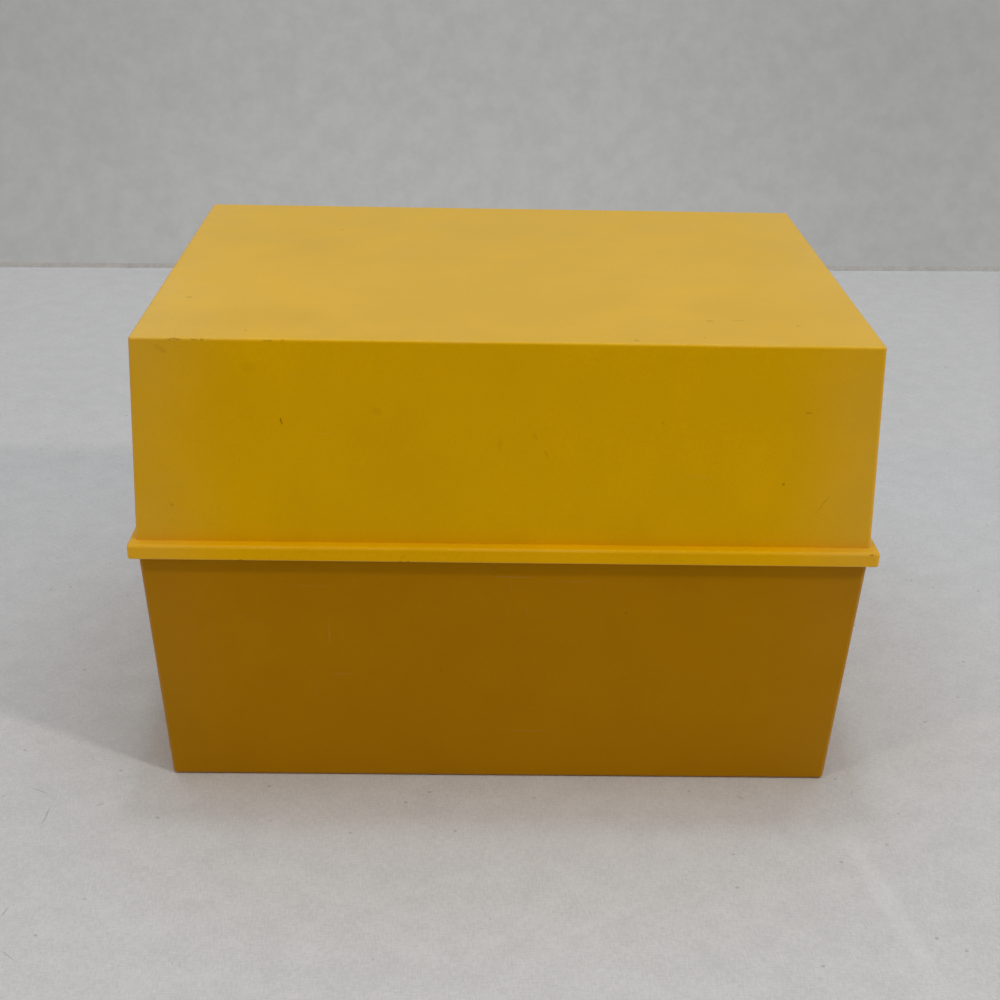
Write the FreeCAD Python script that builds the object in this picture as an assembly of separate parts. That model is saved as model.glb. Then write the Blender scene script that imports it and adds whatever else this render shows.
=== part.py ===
import FreeCAD, Part
import os
from math import asin, cos, degrees, radians, sin, tan

from FreeCAD import Vector

# A hinged two-part plastic box for recipe cards, with tabbed guides and cards inside.
# Millimetres, +Z up. X runs along the long side and -Y faces the front.
# The origin is the middle of the base's bottom face.

# The card that the box is made for
card_width = 152.4
card_height = 101.6
card_side_gap = 1.4       # from a card's end to the wall, at floor level

# Walls and drafts
wall = 2.0
floor_thick = 2.0
top_thick = 2.0
base_draft = 0.058        # how far a wall leans out, per mm of height
lid_draft = 0.030         # how far a wall leans in, per mm of height
well_depth = 113.4        # inside of the base, front to back, at floor level
base_height = 63.0        # top edge of the base walls, where the lid sits

# The step and skirt round the lid's foot
skirt_thick = 1.4
skirt_gap = 0.3           # between the skirt and the base walls
front_lip = 0.95          # how much further the ledge stands out along the front, for a thumb
skirt_drop = 2.0          # how far the skirt laps down over the base
ledge_thick = 1.6

# Rounding
base_corner_r = 1.2
lid_corner_r = 0.9
rim_corner_r = 1.0
inside_corner_r = 0.6
base_foot_r = 1.0
lid_top_r = 0.7
rim_top_r = 0.8
rim_foot_r = 0.4

# Hinges along the back
hinge_inset = 33.0        # from the base's end to the middle of each hinge
knuckle_r = 2.6
knuckle_gap = 0.35        # between the knuckles and the back wall
base_knuckle_length = 10.0
lid_knuckle_length = 8.0
knuckle_end_gap = 0.3
pin_r = 1.0
pin_running_gap = 0.05    # in the lid's knuckles
pin_fixed_gap = 0.02      # in the base's knuckle
pin_end_gap = 0.5         # how far a pin stops short of the outer faces

# Stop that holds the open lid
open_angle = 110.0
tail_reach = 4.2          # from the hinge axis to the edge of each stop tail
tail_thick = 1.6
stop_gap = 0.1
pad_height = 4.0
pad_knuckle_gap = 0.35

# Guides and cards
section_count = 6
guide_thick = 0.6
cards_thick = 11.2
guide_card_gap = 0.2
section_gap = 1.0         # room between one section and the next
rear_gap = 2.5            # between the last section and the back wall
card_floor_gap = 0.15
lean_back_angle = 1.0
tab_height = 5.0
tab_width = 24.0
tab_corner_r = 2.0
tab_top_gap = 1.25        # between the tabs and the lid's inside

# Not sizes of the box
cut_past = 1.0            # how far a cutting block runs past what it cuts
same_place = 1e-4         # two heights closer than this are one height

# Worked out from the sizes above
well_half_x = card_width / 2 + card_side_gap
well_half_y = well_depth / 2
base_rise = base_height - floor_thick
brim_half_x = well_half_x + wall + base_draft * base_rise
brim_half_y = well_half_y + wall + base_draft * base_rise
rim_half_x = brim_half_x + skirt_gap + skirt_thick
rim_half_y = brim_half_y + skirt_gap + skirt_thick
ledge_top = base_height + ledge_thick
skirt_foot = base_height - skirt_drop
card_foot = floor_thick + card_floor_gap
lid_ceiling = card_foot + card_height + tab_height + tab_top_gap
lid_top = lid_ceiling + top_thick
hinge_offset = brim_half_x - hinge_inset
axis_y = brim_half_y + knuckle_gap + knuckle_r
axis_z = base_height
lean_back = tan(radians(lean_back_angle))
section_pitch = guide_thick + guide_card_gap + cards_thick + section_gap


def box(x0, x1, y0, y1, z0, z1):
    """A block between two corners."""
    return Part.makeBox(x1 - x0, y1 - y0, z1 - z0, Vector(x0, y0, z0))


def tapered_block(half_x, half_y, z0, z1, growth):
    """A block whose sides lean out by growth per mm of height, from its size at z0."""
    top_x = half_x + growth * (z1 - z0)
    top_y = half_y + growth * (z1 - z0)
    block = Part.makeWedge(-half_x, z0, -half_y, -top_y, -top_x, half_x, z1, half_y, top_y, top_x)
    block.rotate(Vector(0, 0, 0), Vector(1, 0, 0), 90)
    return block


def is_upright(edge):
    """Whether an edge climbs from one height to another."""
    ends = edge.Vertexes
    return len(ends) == 2 and abs(ends[0].Z - ends[1].Z) > same_place


def lies_at(edge, z):
    """Whether an edge lies flat at a height."""
    bounds = edge.BoundBox
    return abs(bounds.ZMin - z) < same_place and abs(bounds.ZMax - z) < same_place


def round_uprights(shape, radius):
    """Round the corners that climb between a block's ends."""
    return shape.makeFillet(radius, [edge for edge in shape.Edges if is_upright(edge)])


def round_ring(shape, radius, z):
    """Round every edge that lies at one height."""
    return shape.makeFillet(radius, [edge for edge in shape.Edges if lies_at(edge, z)])


def hinge_point(out, up):
    """A point of a hinge's side profile, measured from the hinge axis."""
    return Vector(0, axis_y + out, axis_z + up)


def barrel_point(angle):
    """A point on a barrel's outside, by its angle above straight back."""
    return hinge_point(knuckle_r * cos(radians(angle)), knuckle_r * sin(radians(angle)))


def barrel_arc(start, end):
    """The round part of a barrel's side profile, from one angle to another."""
    middle = barrel_point((start + end) / 2)
    return Part.Arc(barrel_point(start), middle, barrel_point(end)).toShape()


def profile_runs(points):
    """Straight runs of a side profile, through its points."""
    return [Part.makeLine(a, b) for a, b in zip(points, points[1:])]


def extruded(edges, x0, x1):
    """A side profile pulled along X."""
    face = Part.Face(Part.Wire(edges))
    face.translate(Vector(x0, 0, 0))
    return face.extrude(Vector(x1 - x0, 0, 0))


def base_knuckle(x0, x1):
    """A barrel on an arm that grows out of the base's back wall, below the seam."""
    root = -(knuckle_r + knuckle_gap + wall / 2)
    arm = [barrel_point(-90), hinge_point(root, -knuckle_r), hinge_point(root, 0), barrel_point(180)]
    return extruded(profile_runs(arm) + [barrel_arc(180, -90)], x0, x1)


def lid_knuckle(x0, x1):
    """A barrel on an arm that grows out of the lid's back wall, with the stop tail behind."""
    root = -(knuckle_r + knuckle_gap + wall / 2)
    arm = [barrel_point(180), hinge_point(root, 0), hinge_point(root, knuckle_r), barrel_point(90)]
    tail_angle = degrees(asin(tail_thick / knuckle_r))
    tail = [barrel_point(tail_angle), hinge_point(tail_reach, tail_thick), hinge_point(tail_reach, 0),
            barrel_point(0)]
    arcs = [barrel_arc(90, tail_angle), barrel_arc(0, -180)]
    return extruded(profile_runs(arm) + arcs[:1] + profile_runs(tail) + arcs[1:], x0, x1)


def pin_bore(x0, x1, radius):
    """What is bored out of a barrel for the pin."""
    return Part.makeCylinder(radius, x1 - x0, Vector(x0, axis_y, axis_z), Vector(1, 0, 0))


def hinge_spans(middle):
    """Where one hinge's barrels lie along X: the base's, then the lid's two."""
    inner = base_knuckle_length / 2
    near = inner + knuckle_end_gap
    far = near + lid_knuckle_length
    return (middle - inner, middle + inner), [(middle - far, middle - near), (middle + near, middle + far)]


hinge_middles = (-hinge_offset, hinge_offset)


def make_base():
    """The tray: outer block less the well, with hinge barrels and stop pads on its back."""
    foot_half_x = brim_half_x - base_draft * base_height
    foot_half_y = brim_half_y - base_draft * base_height
    outside = tapered_block(foot_half_x, foot_half_y, 0.0, base_height, base_draft)
    outside = round_uprights(outside, base_corner_r)
    outside = round_ring(outside, base_foot_r, 0.0)
    well = tapered_block(well_half_x, well_half_y, floor_thick, base_height, base_draft)
    well = round_uprights(well, inside_corner_r)
    well = round_ring(well, inside_corner_r, floor_thick)
    tray = outside
    root_y = brim_half_y - wall
    pad_top = axis_z - knuckle_r - pad_knuckle_gap
    pad_face = axis_y + tail_reach * cos(radians(open_angle)) - stop_gap
    for middle in hinge_middles:
        (x0, x1), lid_spans = hinge_spans(middle)
        tray = tray.fuse(base_knuckle(x0, x1))
        for near, far in lid_spans:
            pad = box(near, far, root_y, pad_face, pad_top - pad_height, pad_top)
            tray = tray.fuse(pad)
        tray = tray.cut(pin_bore(x0, x1, pin_r + pin_fixed_gap))
    return tray.cut(well).removeSplitter()


def make_lid():
    """The cover: outer block and rim less the inside, with hinge barrels and stop tails."""
    outside = tapered_block(brim_half_x, brim_half_y, ledge_top, lid_top, -lid_draft)
    outside = round_uprights(outside, lid_corner_r)
    outside = round_ring(outside, lid_top_r, lid_top)
    rim = box(-rim_half_x, rim_half_x, -rim_half_y - front_lip, rim_half_y, skirt_foot, ledge_top)
    rim = round_uprights(rim, rim_corner_r)
    rim = round_ring(rim, rim_top_r, ledge_top)
    rim = round_ring(rim, rim_foot_r, skirt_foot)
    over_base_x = brim_half_x + skirt_gap
    over_base_y = brim_half_y + skirt_gap
    over_base = box(-over_base_x, over_base_x, -over_base_y - front_lip, rim_half_y + cut_past,
                    skirt_foot - cut_past, base_height)
    cover = outside.fuse(rim.cut(over_base))
    for middle in hinge_middles:
        (x0, x1), lid_spans = hinge_spans(middle)
        notch = box(x0 - knuckle_end_gap, x1 + knuckle_end_gap, brim_half_y, rim_half_y + cut_past,
                    base_height, ledge_top + cut_past)
        cover = cover.cut(notch)
        for near, far in lid_spans:
            cover = cover.fuse(lid_knuckle(near, far))
            cover = cover.cut(pin_bore(near, far, pin_r + pin_running_gap))
    foot_spread = lid_draft * ledge_thick
    inside_x = brim_half_x - wall + foot_spread
    inside_y = brim_half_y - wall + foot_spread
    inside = tapered_block(inside_x, inside_y, base_height, lid_ceiling, -lid_draft)
    inside = round_uprights(inside, inside_corner_r)
    inside = round_ring(inside, inside_corner_r, lid_ceiling)
    return cover.cut(inside).removeSplitter()


def make_hinge_pin(middle):
    """A plain steel pin through one hinge's three barrels."""
    _, lid_spans = hinge_spans(middle)
    x0 = lid_spans[0][0] + pin_end_gap
    x1 = lid_spans[1][1] - pin_end_gap
    return Part.makeCylinder(pin_r, x1 - x0, Vector(x0, axis_y, axis_z), Vector(1, 0, 0))


def section_front(index):
    """Where a section's guide stands on the floor; section 1 is the front one."""
    rear = well_half_y - rear_gap
    return rear - (section_count - index + 1) * section_pitch + section_gap


def leaning_slab(outline, front, thick):
    """A sheet or stack that leans back, from its outline given as (x, height) points."""
    points = [Vector(x, front + lean_back * height, card_foot + height) for x, height in outline]
    face = Part.Face(Part.makePolygon(points + points[:1]))
    return face.extrude(Vector(0, thick, 0))


def card_outline():
    """A plain card, as (x, height) points."""
    half = card_width / 2
    return [(-half, 0.0), (half, 0.0), (half, card_height), (-half, card_height)]


def make_guide(index):
    """A card-sized board with a tab, whose tabs step from left to right."""
    half = card_width / 2
    step = (card_width - tab_width) / (section_count - 1)
    left = -half + (index - 1) * step
    right = left + tab_width
    root = card_height - tab_corner_r
    top = card_height + tab_height
    front = section_front(index)
    board = leaning_slab(card_outline(), front, guide_thick)
    tab = leaning_slab([(left, root), (right, root), (right, top), (left, top)], front, guide_thick)
    top_edges = [edge for edge in tab.Edges if lies_at(edge, card_foot + top)]
    crosswise = [edge for edge in top_edges if edge.BoundBox.XLength < same_place]
    tab = tab.makeFillet(tab_corner_r, crosswise)
    return board.fuse(tab).removeSplitter()


def make_cards(index):
    """The cards behind one guide, as one stack."""
    front = section_front(index) + guide_thick + guide_card_gap
    return leaning_slab(card_outline(), front, cards_thick)


parts = {
    "base": make_base(),
    "lid": make_lid(),
    "hinge_pin_left": make_hinge_pin(-hinge_offset),
    "hinge_pin_right": make_hinge_pin(hinge_offset),
}
for index in range(1, section_count + 1):
    parts[f"guide_{index}"] = make_guide(index)
    parts[f"cards_{index}"] = make_cards(index)

os.makedirs("parts", exist_ok=True)
for name, shape in parts.items():
    shape.exportStep(f"parts/{name}.step")
    bounds = shape.BoundBox
    print(f"{name}: valid {shape.isValid()}, solids {len(shape.Solids)}, volume {shape.Volume:.1f},"
          f" x {bounds.XMin:.2f}..{bounds.XMax:.2f}, y {bounds.YMin:.2f}..{bounds.YMax:.2f},"
          f" z {bounds.ZMin:.2f}..{bounds.ZMax:.2f}")
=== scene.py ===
import random
from math import cos, pi, radians, sin, tan

import bmesh
import bpy
from mathutils import Matrix, Vector


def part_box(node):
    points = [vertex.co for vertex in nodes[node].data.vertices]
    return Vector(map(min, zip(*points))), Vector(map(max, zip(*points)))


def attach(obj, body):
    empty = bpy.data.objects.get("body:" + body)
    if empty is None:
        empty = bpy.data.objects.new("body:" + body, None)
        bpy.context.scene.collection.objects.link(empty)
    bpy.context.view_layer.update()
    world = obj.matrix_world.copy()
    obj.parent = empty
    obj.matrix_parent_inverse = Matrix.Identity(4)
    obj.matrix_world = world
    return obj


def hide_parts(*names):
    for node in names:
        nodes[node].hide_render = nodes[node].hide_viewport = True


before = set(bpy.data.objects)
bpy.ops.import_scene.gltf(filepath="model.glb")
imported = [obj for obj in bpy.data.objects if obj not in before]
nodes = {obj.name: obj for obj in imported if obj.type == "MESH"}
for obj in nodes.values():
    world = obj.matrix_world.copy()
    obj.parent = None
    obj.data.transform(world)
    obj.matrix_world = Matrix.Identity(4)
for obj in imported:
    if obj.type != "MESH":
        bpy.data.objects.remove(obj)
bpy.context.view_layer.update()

# A golden yellow two-part plastic box for recipe cards, closed, on a pale table.
# Metres, +Z up. X runs along the long side and -Y faces the front.

MM = 0.001

# Camera, fitted to the corners of the box
camera_place = (-8.41 * MM, -385.13 * MM, 218.41 * MM)
camera_pitch = 23.866     # degrees below level
camera_roll = -1.182
camera_yaw = 1.254
focal_length = 56.95      # mm, as is the sensor's width
sensor_width = 36.0

# Table top
table_far_edge = 398 * MM
table_turn = 2.2          # degrees, how far its far edge is turned against the box
table_reach = 2.4
cloth_upturn = 2.4 * MM   # the cloth's edge against the wall

# Heights on the lid, and tints that paint light on the plastic
rim_height = 64.6 * MM    # the top of the rim at its foot
skirt_foot = 61.0 * MM
# painted light: the lid's rim and skirt are made brighter, for the light they catch
rim_painted_light = (1.08, 1.045, 1.0, 1.0)
upright_edge_painted_highlight = (1.12, 1.10, 1.5, 1.0)     # painted highlight on upright edges, where their rounded corners catch the light
dust_and_sheen_height = 108 * MM   # above this lie dust and a painted sheen on its top

# Cards and guides
section_count = 6
card_pitch = 0.28 * MM    # from one card to the next in a stack
card_thick = 0.21 * MM
card_corner_r = 1.5 * MM
card_shift = 0.45 * MM    # how far a card lies off the middle of its stack
lean_back = tan(radians(1.0))   # the slope at which cards and guides stand
guide_corner_r = 1.6 * MM
tab_height = 5 * MM
tab_width = 24 * MM
tab_corner_r = 2 * MM
corner_steps = 4
ruled_line_gap = 6.35 * MM
header_gap = 12 * MM      # from a card's top edge to its header line

# Colours that several materials share, and shares of dust, wear and painted light on the plastic
plastic_gloss = (1.0, 0.75, 0.04, 1.0)
# a pale colour for real dust and wear, and for painted sheen, reflections and highlights
dust_and_sheen = (0.72, 0.70, 0.66, 1.0)
dirt = (0.14, 0.05, 0.004, 1.0)
lint = (0.26, 0.24, 0.21, 1.0)
# painted highlight for the ridges of creases in the cloth
crease_painted_highlight = (0.85, 0.85, 0.85, 1.0)
# edges: partly real wear and partly a painted highlight along rounded edges
edge_wear_and_highlight = (0.012, 0.04)
# painted highlight: a lighter line along the foot of the lid's skirt, where its rounded edge catches the
# light
skirt_foot_painted_highlight = 0.07
# painted reflection: the plastic paler towards its left and right ends
end_reflection_patches = (0.75, 1.3)
# the top: partly real dust and partly a painted sheen
top_dust_and_sheen = (0.050, 0.068)
scratch_wear = 0.04
reflection_from, reflection_to = 56 * MM, 92 * MM   # where the painted reflection towards the ends begins and is whole


def add(tree, kind, inputs=None, out=0, **settings):
    """Add a shader node, set its inputs, and return one of its outputs."""
    node = tree.nodes.new("ShaderNode" + kind)
    for key, value in settings.items():
        setattr(node, key, value)
    for key, value in (inputs or {}).items():
        if isinstance(value, bpy.types.NodeSocket):
            tree.links.new(value, node.inputs[key])
        else:
            node.inputs[key].default_value = value
    return node.outputs[out]


def calc(tree, operation, a, b=0.0, clamp=False):
    """One sum on two numbers."""
    return add(tree, "Math", {0: a, 1: b}, operation=operation, use_clamp=clamp)


def weighted_sum(tree, *terms):
    """The sum of values, each times its weight."""
    total = calc(tree, "MULTIPLY", *terms[0])
    for value, weight in terms[1:]:
        total = calc(tree, "ADD", total, calc(tree, "MULTIPLY", value, weight))
    return total


def blend_colours(tree, share, a, b, how="MIX"):
    """Mix colour a with colour b."""
    return add(tree, "Mix", {0: share, 6: a, 7: b}, out=2, data_type="RGBA", blend_type=how)


def ramp(tree, value, low, high, start=0.0, end=1.0):
    """A smooth step from start to end, as value goes from low to high."""
    inputs = {0: value, 1: low, 2: high, 3: start, 4: end}
    return add(tree, "MapRange", inputs, interpolation_type="SMOOTHSTEP")


def noise(tree, place, scale, detail=2.0, roughness=0.5, distortion=0.0):
    """Soft random values about 0.5."""
    inputs = {"Vector": place, "Scale": scale, "Detail": detail, "Roughness": roughness,
              "Distortion": distortion}
    return add(tree, "TexNoise", inputs)


def stretched(tree, place, scale, turn=(0.0, 0.0, 0.0)):
    """Coordinates turned and scaled along each axis."""
    return add(tree, "Mapping", {"Vector": place, "Rotation": turn, "Scale": scale})


def new_material(name):
    """An empty node material, its output node and its object coordinates."""
    material = bpy.data.materials.new(name)
    material.use_nodes = True
    tree = material.node_tree
    tree.nodes.clear()
    output = tree.nodes.new("ShaderNodeOutputMaterial")
    place = add(tree, "TexCoord", out="Object")
    return material, tree, output, place


def finish_surface(tree, output, **inputs):
    """The principled shader of a material, from its inputs by name."""
    shader = add(tree, "BsdfPrincipled", {key.replace("_", " "): value for key, value in inputs.items()})
    tree.links.new(shader, output.inputs["Surface"])


def mark(tree, place, middle, size, turn):
    """A small mark: 1 inside and 0 outside. Sizes are in mm, and the turn about Y or Z in degrees."""
    inputs = {
        "Vector": place,
        "Location": [value * MM for value in middle],
        "Rotation": [radians(value) for value in turn],
        "Scale": [value / 2 * MM for value in size],
    }
    local = add(tree, "Mapping", inputs, vector_type="TEXTURE")
    away = add(tree, "VectorMath", {0: local}, out="Value", operation="LENGTH")
    return ramp(tree, away, 1.0, 0.35)


def rounded_edge_masks(tree):
    """Masks for level and for upright edges: 1 where an edge is rounded and 0 on faces."""
    facing = add(tree, "SeparateXYZ", {0: add(tree, "TexCoord", out="Normal")}).node.outputs
    along, across, up = [calc(tree, "ABSOLUTE", facing[axis]) for axis in "XYZ"]
    level = calc(tree, "MULTIPLY", ramp(tree, up, 0.12, 0.45), ramp(tree, up, 0.98, 0.75))
    corner = calc(tree, "MULTIPLY", ramp(tree, along, 0.15, 0.5), ramp(tree, across, 0.15, 0.5))
    return level, corner


def dark_specks(tree, place, scale, share):
    """Sparse small dots: 1 inside and 0 outside."""
    cells = tree.nodes.new("ShaderNodeTexVoronoi")
    cells.inputs["Scale"].default_value = scale
    tree.links.new(place, cells.inputs["Vector"])
    near = ramp(tree, cells.outputs["Distance"], 0.10, 0.04)
    pick = add(tree, "SeparateColor", {0: cells.outputs["Color"]})
    return calc(tree, "MULTIPLY", near, ramp(tree, pick, 1.0 - share, 1.005 - share))


def fine_scratches(tree, place):
    """Hair-thin scratches in two directions, in worn patches: 1 on a scratch and 0 off it."""
    streaks = noise(tree, stretched(tree, place, (60.0, 60.0, 1500.0), (0.0, 0.5, 0.2)), 1.0, 2.0)
    crossed = noise(tree, stretched(tree, place, (1300.0, 700.0, 50.0), (0.0, -0.35, 0.4)), 1.0, 2.0)
    where_worn = ramp(tree, noise(tree, place, 30.0, 2.0), 0.52, 0.66)
    lines = calc(tree, "MAXIMUM", ramp(tree, streaks, 0.69, 0.75), ramp(tree, crossed, 0.70, 0.76))
    return calc(tree, "MULTIPLY", lines, where_worn)


def ragged_place(tree, place):
    """Object coordinates shifted a little at random, for marks with ragged outlines."""
    shift = add(tree, "TexNoise", {"Vector": place, "Scale": 900.0, "Detail": 3.0}, out="Color")
    shift = add(tree, "VectorMath", {0: shift, 1: (0.5, 0.5, 0.5)}, operation="SUBTRACT")
    shift = add(tree, "VectorMath", {0: shift, "Scale": 0.0011}, operation="SCALE")
    return add(tree, "VectorMath", {0: place, 1: shift}, operation="ADD")


def moulded_plastic(name, colour, marks, end_reflection, with_rim):
    """Satin moulded plastic with cloudy colour, worn edges, scratches and dark marks, with painted light:
    a paler reflection towards the ends, highlights on rounded edges, a sheen with the dust on top and, on
    the lid, a brighter rim.
    """
    material, tree, output, place = new_material(name)
    spot_x, spot_z = [add(tree, "SeparateXYZ", {0: place}, out=axis) for axis in "XZ"]
    clouds = noise(tree, place, 13.0, 3.0, 0.55)
    mottle = noise(tree, place, 70.0, 4.0, 0.6)
    grain = noise(tree, place, 1700.0, 3.0, 0.65)
    orange_peel = noise(tree, place, 240.0, 2.0)
    haze = ramp(tree, noise(tree, place, 22.0, 5.0, 0.62, 0.4), 0.42, 0.68)

    scratches = fine_scratches(tree, place)
    specks = dark_specks(tree, place, 210.0, 0.035)

    lighter = [value * 1.045 for value in colour[:3]] + [1.0]
    deeper = [value * 0.95 for value in colour[:3]] + [1.0]
    shade = weighted_sum(tree, (clouds, 0.4), (mottle, 0.3), (grain, 0.3))
    paint = blend_colours(tree, ramp(tree, shade, 0.36, 0.64), deeper, lighter)
    if with_rim:
        # painted light: below the rim's top the lid is tinted brighter, for the light the rim catches
        rim = ramp(tree, spot_z, rim_height + 0.5 * MM, rim_height)
        paint = blend_colours(tree, rim, paint, rim_painted_light, "MULTIPLY")
    level_edge, upright_edge = rounded_edge_masks(tree)
    # rounded edges lighter: partly real wear and partly a painted highlight
    edges = calc(tree, "MAXIMUM", level_edge, upright_edge)
    edges = calc(tree, "MULTIPLY", edges, ramp(tree, haze, 0.0, 1.0, *edge_wear_and_highlight))
    # painted highlight: the upright rounded corners are tinted brighter
    paint = blend_colours(tree, upright_edge, paint, upright_edge_painted_highlight, "MULTIPLY")
    # painted reflection: paler towards the left and right ends, in patches
    end_painted_reflection = ramp(tree, calc(tree, "ABSOLUTE", spot_x), reflection_from, reflection_to, 0.0, end_reflection)
    end_painted_reflection = calc(tree, "MULTIPLY", end_painted_reflection, ramp(tree, haze, 0.0, 1.0, *end_reflection_patches))
    facing = add(tree, "TexCoord", out="Normal")
    facing_up = ramp(tree, add(tree, "SeparateXYZ", {0: facing}, out="Z"), 0.5, 0.95)
    # pale on the upward faces of the top: partly real dust and partly a painted sheen
    dust_and_sheen_on_top = calc(tree, "MULTIPLY", ramp(tree, spot_z, dust_and_sheen_height, dust_and_sheen_height + MM), facing_up)
    dust_and_sheen_on_top = calc(tree, "MULTIPLY", dust_and_sheen_on_top, ramp(tree, haze, 0.0, 1.0, *top_dust_and_sheen))
    dust_and_sheen_on_top = calc(tree, "MULTIPLY", dust_and_sheen_on_top, ramp(tree, grain, 0.35, 0.65, 0.75, 1.25))
    if with_rim:
        # painted highlight along the foot of the skirt
        skirt_foot_highlight = ramp(tree, spot_z, skirt_foot + 0.45 * MM, skirt_foot + 0.2 * MM, 0.0, skirt_foot_painted_highlight)
        edges = calc(tree, "MAXIMUM", edges, skirt_foot_highlight)
    # painted reflection at the ends, and dust with a painted sheen on the top
    paint = blend_colours(tree, calc(tree, "ADD", end_painted_reflection, dust_and_sheen_on_top), paint, dust_and_sheen)
    # real scratches, and edges made lighter by wear and by painted highlights
    rubs = calc(tree, "ADD", edges, calc(tree, "MULTIPLY", scratches, scratch_wear))
    paint = blend_colours(tree, rubs, paint, dust_and_sheen)
    paint = blend_colours(tree, calc(tree, "MULTIPLY", specks, 0.45), paint, dirt)

    shifted = ragged_place(tree, place)
    dents = calc(tree, "MULTIPLY", specks, 0.3)
    for middle, size, turn, strength in marks:
        spot = calc(tree, "MULTIPLY", mark(tree, shifted, middle, size, turn), strength)
        paint = blend_colours(tree, spot, paint, dirt)
        dents = calc(tree, "MAXIMUM", dents, spot)

    rough = calc(tree, "ADD", weighted_sum(tree, (haze, 0.08), (mottle, 0.10), (scratches, 0.12)), 0.33)

    height = calc(tree, "ADD", calc(tree, "MULTIPLY", grain, 0.25), orange_peel)
    height = calc(tree, "SUBTRACT", height, calc(tree, "MULTIPLY", scratches, 0.35))
    height = calc(tree, "SUBTRACT", height, calc(tree, "MULTIPLY", dents, 2.5))
    bump = add(tree, "Bump", {"Strength": 0.5, "Distance": 0.00003, "Height": height})
    finish_surface(tree, output, Base_Color=paint, Roughness=rough, Normal=bump, Specular_IOR_Level=0.22,
                   Specular_Tint=plastic_gloss)
    return material


def drawn_steel():
    """Plain steel wire, drawn along X."""
    material, tree, output, place = new_material("drawn_steel")
    lines = noise(tree, stretched(tree, place, (60.0, 4000.0, 4000.0)), 1.0, 3.0)
    paint = blend_colours(tree, lines, (0.50, 0.50, 0.49, 1.0), (0.66, 0.66, 0.65, 1.0))
    rough = ramp(tree, lines, 0.3, 0.7, 0.24, 0.40)
    bump = add(tree, "Bump", {"Strength": 0.3, "Distance": 0.00002, "Height": lines})
    finish_surface(tree, output, Base_Color=paint, Metallic=1.0, Roughness=rough, Normal=bump)
    return material


def pressed_board():
    """Smooth pressed board with fibres and dark flecks."""
    material, tree, output, place = new_material("pressed_board")
    clouds = noise(tree, place, 45.0, 3.0)
    fibres = noise(tree, stretched(tree, place, (260.0, 260.0, 2400.0), (0.0, 0.4, 0.0)), 1.0, 4.0, 0.7)
    crossed = noise(tree, stretched(tree, place, (2400.0, 260.0, 260.0), (0.0, 0.25, 0.0)), 1.0, 4.0, 0.7)
    flecks = calc(tree, "MAXIMUM", ramp(tree, fibres, 0.60, 0.70), ramp(tree, crossed, 0.62, 0.72))
    shade = ramp(tree, clouds, 0.3, 0.7)
    paint = blend_colours(tree, shade, (0.66, 0.49, 0.27, 1.0), (0.72, 0.54, 0.31, 1.0))
    paint = blend_colours(tree, calc(tree, "MULTIPLY", flecks, 0.35), paint, (0.45, 0.30, 0.15, 1.0))
    bump = add(tree, "Bump", {"Strength": 0.35, "Distance": 0.00004, "Height": fibres})
    finish_surface(tree, output, Base_Color=paint, Roughness=0.62, Normal=bump, Specular_IOR_Level=0.35)
    return material


def card_stock(top):
    """Cream card with pale ruled lines under a header line, each card a little different in tint."""
    material, tree, output, place = new_material("card_stock")
    tint = add(tree, "Attribute", out="Fac", attribute_name="tint")
    fibres = noise(tree, place, 1500.0, 4.0, 0.7)
    stain = noise(tree, place, 35.0, 3.0)
    paint = blend_colours(tree, tint, (0.80, 0.74, 0.61, 1.0), (0.86, 0.83, 0.76, 1.0))
    paint = blend_colours(tree, ramp(tree, stain, 0.55, 0.75, 0.0, 0.35), paint, (0.74, 0.64, 0.45, 1.0))

    height = add(tree, "SeparateXYZ", {0: place}, out="Z")
    facing = add(tree, "SeparateXYZ", {0: add(tree, "TexCoord", out="Normal")}, out="Y")
    on_face = ramp(tree, calc(tree, "ABSOLUTE", facing), 0.6, 0.8)
    down = calc(tree, "SUBTRACT", top, height)
    below_header = calc(tree, "GREATER_THAN", down, header_gap + ruled_line_gap / 2)
    across = calc(tree, "PINGPONG", calc(tree, "SUBTRACT", down, header_gap), ruled_line_gap / 2)
    line = calc(tree, "MULTIPLY", ramp(tree, across, 0.14 * MM, 0.08 * MM), below_header)
    off_header = calc(tree, "ABSOLUTE", calc(tree, "SUBTRACT", down, header_gap))
    header = ramp(tree, off_header, 0.22 * MM, 0.14 * MM)
    line = calc(tree, "MULTIPLY", calc(tree, "MULTIPLY", line, on_face), 0.55)
    header = calc(tree, "MULTIPLY", calc(tree, "MULTIPLY", header, on_face), 0.6)
    paint = blend_colours(tree, line, paint, (0.32, 0.45, 0.62, 1.0))
    paint = blend_colours(tree, header, paint, (0.62, 0.20, 0.17, 1.0))
    bump = add(tree, "Bump", {"Strength": 0.3, "Distance": 0.00003, "Height": fibres})
    finish_surface(tree, output, Base_Color=paint, Roughness=0.75, Normal=bump, Specular_IOR_Level=0.3)
    return material


def arc_points(x, height, radius, start):
    """A quarter turn of outline points round a corner's middle."""
    angles = [start + pi / 2 * step / corner_steps for step in range(corner_steps + 1)]
    return [(x + radius * cos(angle), height + radius * sin(angle)) for angle in angles]


def rounded_outline(left, right, low, high, radius):
    """A card's outline as (x, height) points, with its two top corners rounded."""
    points = [(left, low), (right, low)]
    points += arc_points(right - radius, high - radius, radius, 0.0)
    points += arc_points(left + radius, high - radius, radius, pi / 2)
    return points


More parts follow.
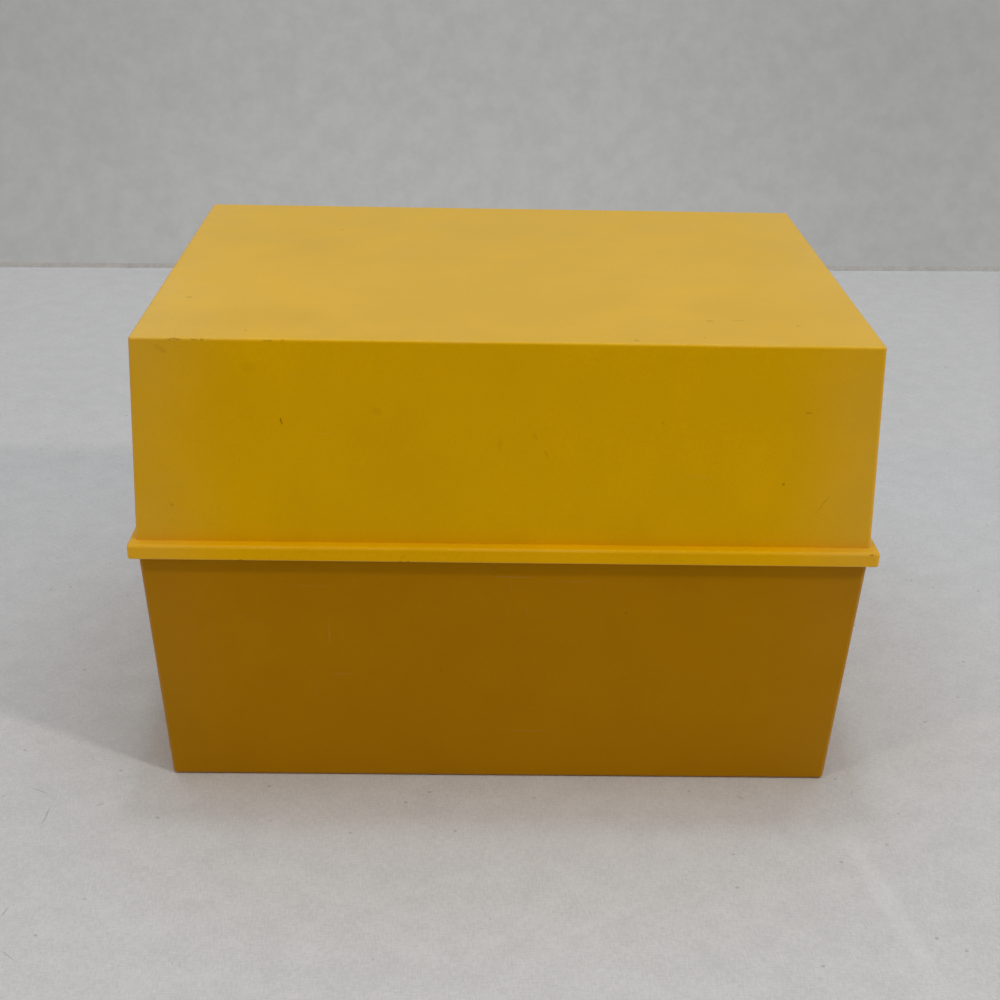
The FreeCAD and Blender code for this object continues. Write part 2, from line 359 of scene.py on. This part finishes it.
def add_sheet(mesh, outline, front, foot, thick):
    """Add one leaning sheet to a bmesh and return its vertices."""
    faces = []
    for depth in (0.0, thick):
        ring = [mesh.verts.new((x, front + lean_back * height + depth, foot + height))
                for x, height in outline]
        faces.append(ring)
    near, far = faces
    mesh.faces.new(near)
    mesh.faces.new(list(reversed(far)))
    for i in range(len(near)):
        j = (i + 1) % len(near)
        mesh.faces.new((near[j], near[i], far[i], far[j]))
    return near + far


def mesh_object(name, mesh, material):
    """A new object from a bmesh."""
    data = bpy.data.meshes.new(name)
    mesh.normal_update()
    mesh.to_mesh(data)
    mesh.free()
    data.materials.append(material)
    obj = bpy.data.objects.new(name, data)
    bpy.context.scene.collection.objects.link(obj)
    return obj


def card_stack(index, material, chance):
    """The single cards of one section, in the place of its solid stack."""
    low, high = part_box(f"cards_{index}")
    half = (high.x - low.x) / 2
    tall = high.z - low.z
    deep = high.y - low.y - lean_back * tall
    mesh = bmesh.new()
    tint = mesh.verts.layers.float.new("tint")
    for number in range(int((deep - card_thick) / card_pitch) + 1):
        shift = chance.uniform(-card_shift, card_shift)
        short = chance.uniform(0.0, 0.35) * MM
        shade = chance.random()
        outline = rounded_outline(shift - half + card_shift, shift + half - card_shift, 0.0, tall - short,
                                  card_corner_r)
        for vertex in add_sheet(mesh, outline, low.y + number * card_pitch, low.z, card_thick):
            vertex[tint] = shade
    stack = mesh_object(f"card_stack_{index}", mesh, material)
    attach(stack, f"section_{index}")
    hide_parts(f"cards_{index}")


def guide_outline(index, half, tall):
    """A guide's outline with its tab, as (x, height) points."""
    shoulder = tall - tab_height
    step = (2 * half - tab_width) / (section_count - 1)
    left = -half + (index - 1) * step
    right = left + tab_width
    points = [(-half, 0.0), (half, 0.0)]
    if index < section_count:
        points += arc_points(half - guide_corner_r, shoulder - guide_corner_r, guide_corner_r, 0.0)
        points.append((right, shoulder))
    points += arc_points(right - tab_corner_r, tall - tab_corner_r, tab_corner_r, 0.0)
    points += arc_points(left + tab_corner_r, tall - tab_corner_r, tab_corner_r, pi / 2)
    if index > 1:
        points.append((left, shoulder))
        points += arc_points(-half + guide_corner_r, shoulder - guide_corner_r, guide_corner_r, pi / 2)
    return points


def guide_board(index, material):
    """One tabbed guide of pressed board with softened edges."""
    low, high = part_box(f"guide_{index}")
    half = (high.x - low.x) / 2
    tall = high.z - low.z
    thick = high.y - low.y - lean_back * tall
    mesh = bmesh.new()
    add_sheet(mesh, guide_outline(index, half, tall), low.y, low.z, thick)
    board = mesh_object(f"guide_board_{index}", mesh, material)
    rounding = board.modifiers.new("soft_edges", "BEVEL")
    rounding.width = 0.12 * MM
    rounding.segments = 2
    rounding.limit_method = "ANGLE"
    rounding.angle_limit = radians(60)
    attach(board, f"section_{index}")
    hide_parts(f"guide_{index}")


def table_top():
    """The table with its pale cloth, and the cloth's upturned edge behind the box."""
    material, tree, output, place = new_material("table_cloth")
    clouds = noise(tree, place, 7.0, 4.0, 0.6)
    warp = noise(tree, stretched(tree, place, (500.0, 2300.0, 500.0)), 1.0, 2.0, 0.6)
    weft = noise(tree, stretched(tree, place, (2300.0, 500.0, 500.0)), 1.0, 2.0, 0.6)
    weave = calc(tree, "MULTIPLY", calc(tree, "ADD", warp, weft), 0.5)
    rumples = noise(tree, place, 120.0, 4.0, 0.6)
    shade = weighted_sum(tree, (clouds, 0.14), (weave, 0.64), (rumples, 0.22))
    paint = blend_colours(tree, ramp(tree, shade, 0.38, 0.62), (0.533, 0.532, 0.531, 1.0),
                          (0.629, 0.628, 0.627, 1.0))
    fibres = noise(tree, stretched(tree, place, (900.0, 260.0, 260.0), (0.0, 0.0, 0.6)), 1.0, 3.0)
    loose = calc(tree, "MULTIPLY", ramp(tree, fibres, 0.71, 0.78), 0.35)
    paint = blend_colours(tree, loose, paint, (0.36, 0.35, 0.33, 1.0))
    fluff = calc(tree, "MULTIPLY", dark_specks(tree, place, 160.0, 0.35), 0.45)
    for middle, size, turn, strength in cloth_hairs:
        hair = calc(tree, "MULTIPLY", mark(tree, place, middle, size, turn), strength)
        fluff = calc(tree, "MAXIMUM", fluff, hair)
    paint = blend_colours(tree, fluff, paint, lint)
    # painted highlights along creases
    for middle, size, turn, strength in cloth_crease_highlights:
        crease_highlight = calc(tree, "MULTIPLY", mark(tree, place, middle, size, turn), strength)
        paint = blend_colours(tree, crease_highlight, paint, crease_painted_highlight)
    bump = add(tree, "Bump", {"Strength": 0.5, "Distance": 0.0003, "Height": weave})
    finish_surface(tree, output, Base_Color=paint, Roughness=0.85, Normal=bump, Specular_IOR_Level=0.15)
    mesh = bmesh.new()
    sides = (-table_reach, table_reach)
    near = [mesh.verts.new((x, -table_reach, 0.0)) for x in sides]
    far = [mesh.verts.new((x, table_far_edge, 0.0)) for x in sides]
    upturned = [mesh.verts.new((x, table_far_edge, cloth_upturn)) for x in sides]
    mesh.faces.new((near[0], near[1], far[1], far[0]))
    mesh.faces.new((far[0], far[1], upturned[1], upturned[0]))
    table = mesh_object("table_top", mesh, material)
    table.rotation_euler.z = radians(table_turn)


def soft_light(name, place, aim, width, height, power, colour):
    """A rectangular soft lamp that faces a point."""
    lamp = bpy.data.lights.new(name, "AREA")
    lamp.shape = "RECTANGLE"
    lamp.size = width
    lamp.size_y = height
    lamp.energy = power
    lamp.color = colour
    holder = bpy.data.objects.new(name, lamp)
    holder.location = place
    holder.rotation_euler = (Vector(aim) - Vector(place)).to_track_quat("-Z", "Y").to_euler()
    bpy.context.scene.collection.objects.link(holder)


def room_light(ambient, tint, wall):
    """Even light from all round, and a pale grey wall for what looks past the table, with painted shade:
    darker towards both sides and towards the top.
    """
    world = bpy.data.worlds.new("room")
    bpy.context.scene.world = world
    world.use_nodes = True
    tree = world.node_tree
    tree.nodes.clear()
    output = tree.nodes.new("ShaderNodeOutputWorld")
    path = tree.nodes.new("ShaderNodeLightPath")
    seen = calc(tree, "MAXIMUM", path.outputs["Is Camera Ray"], path.outputs["Is Glossy Ray"])
    seen = calc(tree, "MAXIMUM", seen, path.outputs["Is Transmission Ray"])
    look = add(tree, "TexCoord", out="Generated")
    side, up = [add(tree, "SeparateXYZ", {0: look}, out=axis) for axis in "XZ"]
    # painted shade on the wall: darker towards both sides and towards the top
    shade = ramp(tree, calc(tree, "ABSOLUTE", calc(tree, "ADD", side, 0.01)), 0.06, 0.30, 1.0, 0.88)
    shade = calc(tree, "MULTIPLY", shade, ramp(tree, up, -0.24, -0.12, 1.0, 0.93))
    mottle = ramp(tree, noise(tree, look, 80.0, 5.0, 0.72), 0.3, 0.7, 0.955, 1.045)
    shade = calc(tree, "MULTIPLY", shade, mottle)
    light = add(tree, "Background", {"Color": tint, "Strength": ambient})
    backdrop = add(tree, "Background", {"Color": wall, "Strength": shade})
    tree.links.new(add(tree, "MixShader", {0: seen, 1: light, 2: backdrop}), output.inputs["Surface"])


def photo_camera():
    """The camera at the photo's angle and distance."""
    camera = bpy.data.cameras.new("camera")
    camera.lens = focal_length
    camera.sensor_width = sensor_width
    camera.clip_start = 0.01
    camera.clip_end = 20.0
    holder = bpy.data.objects.new("camera", camera)
    turn = Matrix.Rotation(radians(-camera_yaw), 4, "Z")
    tilt = Matrix.Rotation(radians(90 - camera_pitch), 4, "X")
    roll = Matrix.Rotation(radians(-camera_roll), 4, "Z")
    holder.matrix_world = Matrix.Translation(camera_place) @ turn @ tilt @ roll
    bpy.context.scene.collection.objects.link(holder)
    bpy.context.scene.camera = holder


# Marks on the lid: middle and size in mm, turn about Y or Z in degrees, strength
lid_marks = [
    ((-49.5, -61.4, 93.4), (2.0, 6.0, 0.6), (0, 75, 0), 0.7),
    ((66.0, -61.3, 96.8), (1.8, 6.0, 0.6), (0, 0, 0), 0.35),
    ((71.0, -61.9, 75.0), (8.0, 6.0, 0.45), (0, -57, 0), 0.20),
    ((6.0, -61.5, 90.6), (2.2, 6.0, 0.45), (0, 58, 0), 0.18),
    ((8.8, -61.5, 86.4), (2.6, 6.0, 0.4), (0, 58, 0), 0.22),
    ((-1.6, -61.5, 88.7), (4.5, 6.0, 0.8), (0, 90, 0), 0.10),
    ((34.1, -61.4, 94.1), (1.6, 6.0, 0.4), (0, 40, 0), 0.22),
    ((-28.8, -61.3, 96.0), (3.4, 6.0, 2.6), (0, 20, 0), 0.07),
    ((-56.0, -61.0, 105.6), (5.0, 6.0, 3.5), (0, 20, 0), 0.07),
    ((-74.9, -60.9, 109.6), (4.5, 6.0, 1.4), (0, 35, 0), 0.12),
    ((-74.5, -62.0, 73.2), (1.2, 6.0, 1.0), (0, 10, 0), 0.22),
    ((-71.7, -60.8, 111.7), (4.6, 0.9, 0.6), (0, 0, 0), 0.42),
    ((-67.6, -60.8, 111.7), (2.2, 0.8, 0.5), (0, 0, 0), 0.38),
    ((-65.9, -60.7, 111.7), (1.0, 0.9, 0.6), (0, 0, 0), 0.45),
    ((-51.9, -60.8, 111.6), (3.0, 0.8, 0.6), (0, 0, 0), 0.28),
    ((-48.6, -60.8, 111.6), (1.6, 0.8, 0.6), (0, 0, 0), 0.28),
    ((45.6, -43.7, 112.0), (2.4, 1.6, 6.0), (0, 0, 0), 0.25),
    ((52.0, -43.3, 112.0), (4.0, 1.2, 6.0), (0, 0, 0), 0.18),
    ((65.1, -46.5, 112.0), (1.2, 1.2, 6.0), (0, 0, 0), 0.25),
    ((27.7, -58.4, 112.0), (1.3, 1.3, 6.0), (0, 0, 0), 0.35),
    ((-73.4, -30.8, 112.0), (2.0, 1.0, 6.0), (0, 0, 10), 0.35),
    ((-56.0, -46.0, 112.0), (44.0, 22.0, 6.0), (0, 0, 4), 0.05),
    ((-50.0, 22.0, 112.0), (26.0, 40.0, 6.0), (0, 0, 30), 0.03),
    ((-59.5, -64.9, 61.1), (2.4, 4.0, 0.5), (0, 0, 0), 0.55),
    ((-23.6, -64.9, 61.2), (1.3, 4.0, 0.6), (0, 0, 0), 0.6),
    ((-21.9, -64.9, 61.2), (1.1, 4.0, 0.6), (0, 0, 0), 0.6),
    ((-23.0, -64.9, 62.4), (2.2, 4.0, 0.5), (0, -33, 0), 0.25),
    ((82.7, -64.9, 64.1), (1.2, 4.0, 0.7), (0, 0, 0), 0.60),
]

# Painted highlights along creases in the cloth, where their ridges catch the light, given the same way
cloth_crease_highlights = [
    ((80.5, -112.0, 0.0), (68.0, 7.0, 8.0), (0, 0, -83), 0.15),
    ((16.7, -113.4, 0.0), (36.0, 4.0, 8.0), (0, 0, 29), 0.07),
    ((97.0, 20.0, 0.0), (70.0, 5.0, 8.0), (0, 0, 60), 0.07),
    ((-120.0, -110.0, 0.0), (60.0, 5.0, 8.0), (0, 0, 20), 0.06),
]

# Hairs and threads on the cloth, given the same way
cloth_hairs = [
    ((-112.1, -62.2, 0.0), (7.2, 0.45, 8.0), (0, 0, -30), 0.45),
    ((-108.8, -72.6, 0.0), (9.5, 0.5, 8.0), (0, 0, -94), 0.5),
    ((-110.2, -107.0, 0.0), (5.0, 0.45, 8.0), (0, 0, 75), 0.6),
    ((-106.3, -121.3, 0.0), (6.0, 0.4, 8.0), (0, 0, -43), 0.45),
    ((-97.0, -68.1, 0.0), (3.0, 0.8, 8.0), (0, 0, 26), 0.35),
    ((55.2, -69.0, 0.0), (3.2, 0.5, 8.0), (0, 0, -47), 0.45),
    ((82.8, -67.6, 0.0), (2.6, 0.5, 8.0), (0, 0, 58), 0.45),
]

# Lamps: name, place, the point each faces, width, height, power, colour
lamps = [
    ("right_lamp", (0.78, -0.62, 0.95), (0.0, 0.0, 0.05), 0.10, 0.10, 3.77, (1.0, 0.946, 0.866)),
    ("left_lamp", (-0.74, -0.685, 0.95), (0.0, 0.0, 0.05), 0.10, 0.10, 1.46, (1.0, 0.79, 0.52)),
    ("ceiling_lamp", (0.0, 0.144, 1.35), (0.0, -0.06, 0.0), 0.10, 0.10, 1.86, (0.773, 0.912, 1.0)),
    ("overhead", (0.0, 0.05, 1.35), (0.0, 0.0, 0.05), 1.4, 1.4, 10.7, (0.66, 0.819, 1.0)),
    ("front_fill", (0.0, -1.5, 0.7), (0.0, 0.0, 0.05), 1.4, 0.8, 0.94, (1.0, 0.869, 0.65)),
]

# Light from all round, and what looks past the table
room_ambient = 0.309
room_tint = (1.0, 0.802, 0.62, 1.0)
wall_grey = (0.409, 0.409, 0.400, 1.0)

lid_colour = (0.721, 0.406, 0.0002, 1.0)
# the base deeper than the lid: partly its own tone and partly painted shade, for the light its
# forward-leaning front lacks
base_colour_with_painted_shade = (0.424, 0.196, 0.0001, 1.0)
finishes = {
    # the number before True or False is the share of painted reflection at the ends
    "lid": moulded_plastic("lid_plastic", lid_colour, lid_marks, 0.041, True),
    "base": moulded_plastic("base_plastic_with_painted_shade", base_colour_with_painted_shade, [], 0.010, False),
}
steel = drawn_steel()
for node in ("hinge_pin_left", "hinge_pin_right"):
    finishes[node] = steel
for node, material in finishes.items():
    nodes[node].data.materials.clear()
    nodes[node].data.materials.append(material)

chance = random.Random(7)
card_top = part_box("cards_1")[1].z
card_material = card_stock(card_top)
guide_material = pressed_board()
for index in range(1, section_count + 1):
    card_stack(index, card_material, chance)
    guide_board(index, guide_material)

table_top()
for lamp in lamps:
    soft_light(*lamp)
room_light(room_ambient, room_tint, wall_grey)
photo_camera()
bpy.context.scene.view_settings.view_transform = "Standard"
